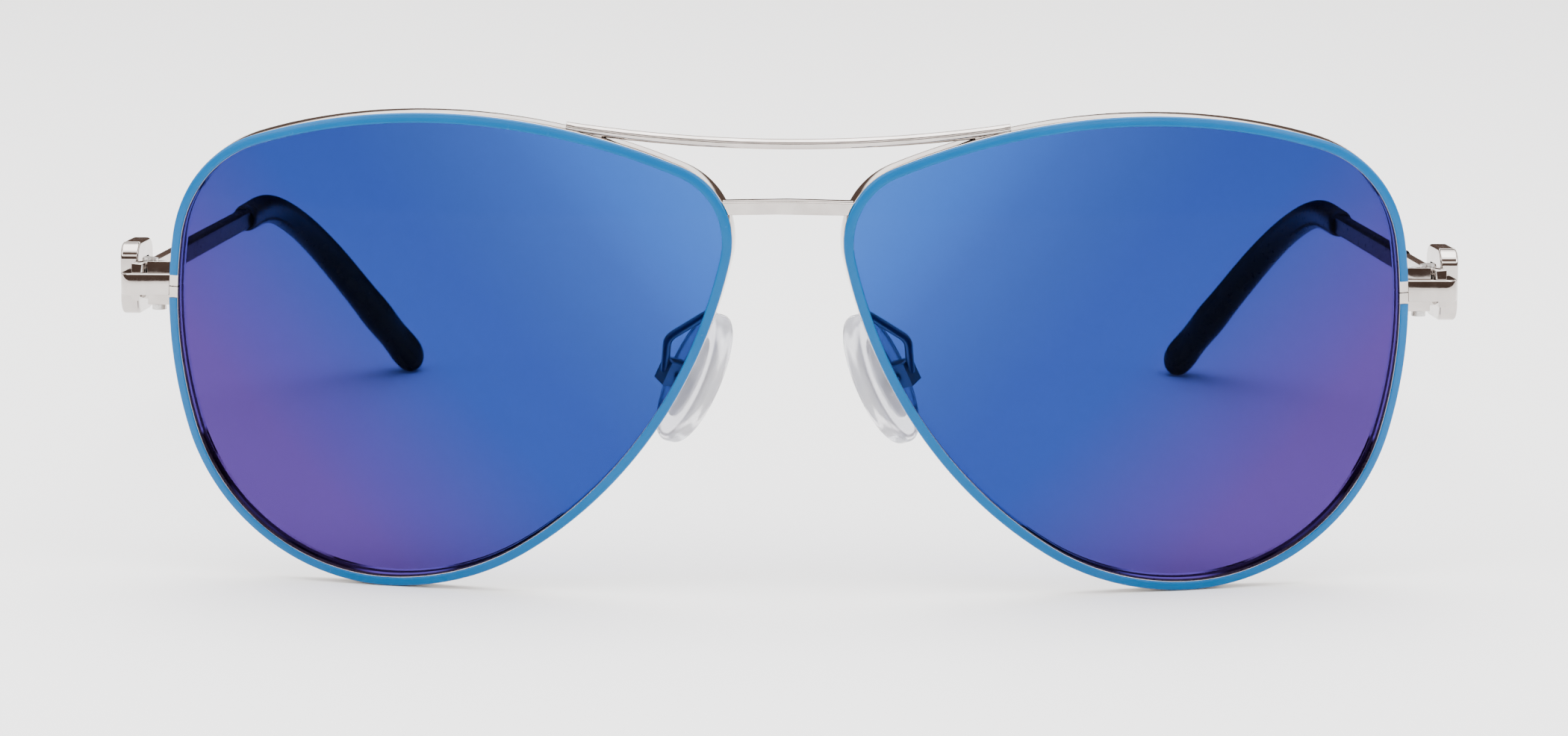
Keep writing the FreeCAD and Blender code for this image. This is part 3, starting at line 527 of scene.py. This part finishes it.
def softened(node, width, body):
    source = nodes[node]
    piece = source.copy()
    piece.data = source.data.copy()
    piece.name = "soft_" + node
    for key in list(piece.keys()):
        del piece[key]
    piece.parent = None
    bpy.context.scene.collection.objects.link(piece)
    onlyThis(piece)
    if piece.data.has_custom_normals:
        bpy.ops.mesh.customdata_custom_splitnormals_clear()
    bpy.ops.object.mode_set(mode="EDIT")
    bpy.ops.mesh.select_all(action="SELECT")
    bpy.ops.mesh.remove_doubles(threshold=softCut["weld"] * mm)
    bpy.ops.mesh.dissolve_limited(angle_limit=math.radians(softCut["flat"]))
    bpy.ops.object.mode_set(mode="OBJECT")
    addModifier(piece, "BEVEL", width=width * mm, segments=softCut["steps"], limit_method="ANGLE",
                angle_limit=math.radians(softCut["sharp"]))
    smoothed(piece, softCut["smooth"])
    finished(piece, body, silver, "silver_metal", node)


for start, width in softEdges.items():
    for node in sorted(nodes):
        if node.startswith(start):
            side = "temple_" + node.split("_")[-1] if start in ("hinge_temple", "temple_arm") else "front"
            softened(node, width, side)
print("metal blocks softened")

floorLook = {"size": 6.0, "below": 0.00002, "colour": (0.86, 0.86, 0.86), "rough": 0.7}
bpy.ops.object.select_all(action="DESELECT")
bpy.ops.mesh.primitive_plane_add(size=floorLook["size"], location=(0, 0, -floorLook["below"]))
floor = bpy.context.object
floor.name = "floor"
floorMat, _, floorShader = newMaterial("palePaper")
floorShader.inputs["Base Color"].default_value = (*floorLook["colour"], 1.0)
floorShader.inputs["Roughness"].default_value = floorLook["rough"]
floor.data.materials.append(floorMat)

lightLook = {
    "world": 4.3,
    "backdrop": 3.9,
    "cards": (  # from straight down to straight up
        (0.50, (0.85, 0.82, 0.80)),
        (0.51, (0.030, 0.020, 0.016)),
        (0.62, (0.045, 0.030, 0.024)),
        (0.65, (0.90, 0.86, 0.83)),
        (0.72, (0.90, 0.86, 0.83)),
        (0.74, (0.050, 0.036, 0.030)),
        (0.84, (0.070, 0.050, 0.042)),
        (0.87, (1.0, 1.0, 1.0)),
    ),
    "boxes": (  # place, size, watts
        ((0.0, -0.1, 0.9), 0.9, 12.0),
        ((-0.7, -0.5, 0.5), 0.5, 4.0),
        ((0.7, -0.5, 0.5), 0.5, 4.0),
    ),
}
world = bpy.data.worlds.new("softRoom")
bpy.context.scene.world = world
world.use_nodes = True
room = world.node_tree
backdrop = room.nodes["Background"]
backdrop.inputs["Color"].default_value = (1.0, 1.0, 1.0, 1.0)
backdrop.inputs["Strength"].default_value = lightLook["backdrop"]
cards = room.nodes.new("ShaderNodeBackground")
cards.inputs["Strength"].default_value = lightLook["world"]
way = room.nodes.new("ShaderNodeTexCoord")
heights = room.nodes.new("ShaderNodeSeparateXYZ")
room.links.new(way.outputs["Generated"], heights.inputs["Vector"])
height = room.nodes.new("ShaderNodeMapRange")
height.inputs["From Min"].default_value = -1.0
room.links.new(heights.outputs["Z"], height.inputs["Value"])
room.links.new(ramp(room, height.outputs["Result"], lightLook["cards"]), cards.inputs["Color"])
sight = room.nodes.new("ShaderNodeLightPath")
choose = room.nodes.new("ShaderNodeMixShader")
room.links.new(sight.outputs["Is Camera Ray"], choose.inputs["Fac"])
room.links.new(cards.outputs[0], choose.inputs[1])
room.links.new(backdrop.outputs[0], choose.inputs[2])
room.links.new(choose.outputs[0], room.nodes["World Output"].inputs["Surface"])
for place, width, watts in lightLook["boxes"]:
    bpy.ops.object.light_add(type="AREA", location=place)
    lamp = bpy.context.object
    lamp.data.size = width
    lamp.data.energy = watts
    lamp.rotation_euler = (-Vector(place)).to_track_quat("-Z", "Y").to_euler()
print("lights set")

cameraLook = {
    "place": (0.0025, -0.4697, 0.0955),
    "down": 10.0,
    "left": 0.407,
    "roll": 0.239,
    "lens": 90.0,
    "sensor": 36.0,
    "nearest": 0.01,
}
camera = bpy.data.objects.new("camera", bpy.data.cameras.new("camera"))
bpy.context.scene.collection.objects.link(camera)
camera.data.lens = cameraLook["lens"]
camera.data.sensor_width = cameraLook["sensor"]
camera.data.clip_start = cameraLook["nearest"]
look = (Matrix.Rotation(math.radians(cameraLook["left"]), 4, "Z")
        @ Matrix.Rotation(math.radians(90 - cameraLook["down"]), 4, "X")
        @ Matrix.Rotation(math.radians(cameraLook["roll"]), 4, "Z"))
camera.location = cameraLook["place"]
camera.rotation_euler = look.to_euler()
bpy.context.scene.camera = camera
print("camera set")
